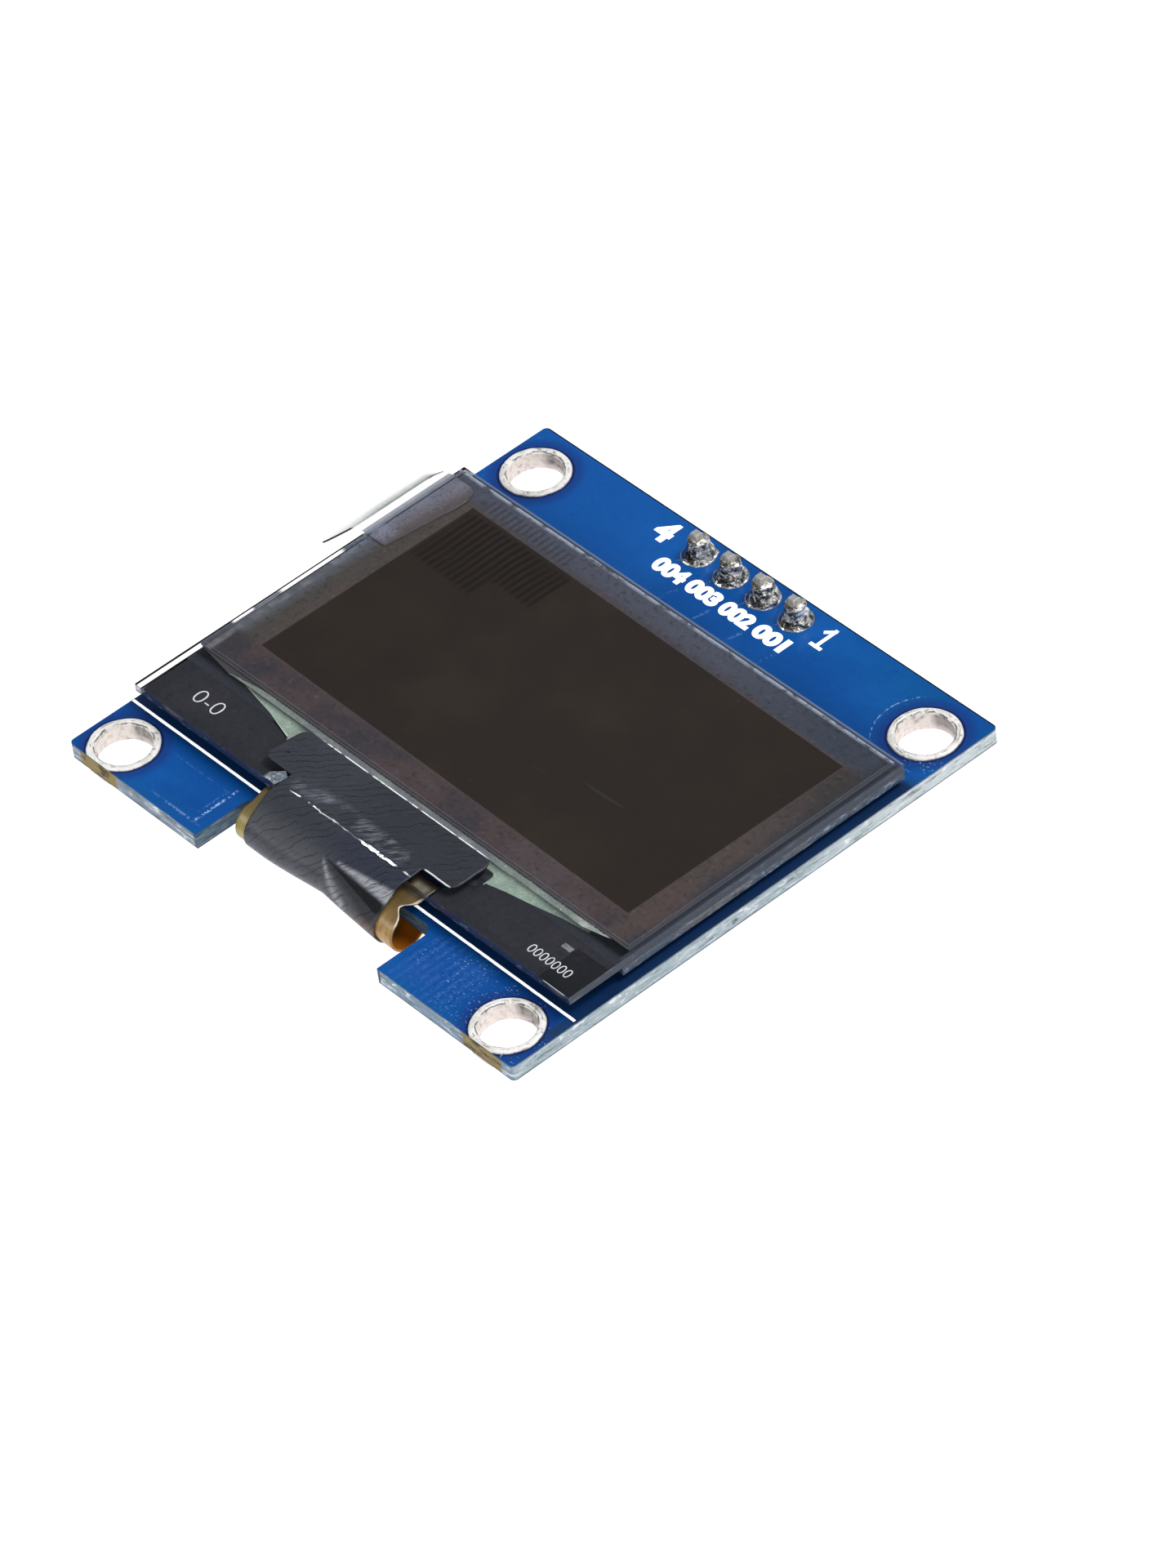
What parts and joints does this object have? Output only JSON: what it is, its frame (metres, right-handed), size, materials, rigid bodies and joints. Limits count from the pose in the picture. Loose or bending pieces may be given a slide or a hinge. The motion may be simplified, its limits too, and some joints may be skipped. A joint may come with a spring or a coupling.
{
  "type": "small oled display module",
  "caption": "Glass display panel on a blue circuit board, with a taped ribbon folded through a notch, tinned corner holes and a pin header on the rear.",
  "frame": {"origin": "centre of the four mounting holes, on the board's rear face", "axes": "+Z is the way the display faces, +Y points from the notch edge to the header edge, +X across the board to the right seen from the front with the header at the top"},
  "size_m": [0.0356, 0.0335, 0.0114],
  "materials": {
    "solder_mask": "glossy solder mask over copper and glass laminate",
    "tinned_copper": "bright tin",
    "front_glass": "polished clear glass",
    "rear_glass": "polished glass with a milled pocket",
    "edge_seal": "cured resin",
    "emitter_layers": "thin dark layers",
    "drying_sheet": "pressed powder sheet",
    "foam_tape": "black foam",
    "polarizer": "smoky grey film",
    "clear_film": "clear film",
    "pull_tab": "clear film",
    "driver_chip": "bare polished silicon",
    "ledge_mask": "black printed film",
    "flex_ribbon": "amber polyimide",
    "light_shield_tape": "dark hairline polyester",
    "header_block": "moulded black",
    "pin_metal": "bright tin plate",
    "solder": "bright lumpy tin",
    "voltage_regulator": "moulded black with tinned legs",
    "capacitor_body": "tan ceramic with tinned caps",
    "resistor_body": "black glaze with tinned caps"
  },
  "bodies": {
    "root": {"pcb": "solder_mask", "hole_plating_1": "tinned_copper", "hole_plating_2": "tinned_copper", "hole_plating_3": "tinned_copper", "hole_plating_4": "tinned_copper", "front_glass": "front_glass", "rear_glass": "rear_glass", "edge_seal": "edge_seal", "emitter_layers": "emitter_layers", "drying_sheet": "drying_sheet", "foam_tape": "foam_tape", "polarizer": "polarizer", "protective_film": "clear_film", "pull_tab": "pull_tab", "driver_chip": "driver_chip", "ledge_mask_1": "ledge_mask", "ledge_mask_2": "ledge_mask", "flex_ribbon": "flex_ribbon", "light_shield_tape": "light_shield_tape", "header_block": "header_block", "header_pin_1": "pin_metal", "header_pin_2": "pin_metal", "header_pin_3": "pin_metal", "header_pin_4": "pin_metal", "header_solder_1": "solder", "header_solder_2": "solder", "header_solder_3": "solder", "header_solder_4": "solder", "ribbon_solder": "solder", "voltage_regulator": "voltage_regulator", "capacitor_1": "capacitor_body", "capacitor_2": "capacitor_body", "capacitor_3": "capacitor_body", "capacitor_4": "capacitor_body", "capacitor_5": "capacitor_body", "capacitor_6": "capacitor_body", "resistor_1": "resistor_body", "resistor_2": "resistor_body", "resistor_3": "resistor_body", "resistor_4": "resistor_body", "resistor_5": "resistor_body"}
  },
  "joints": []
}
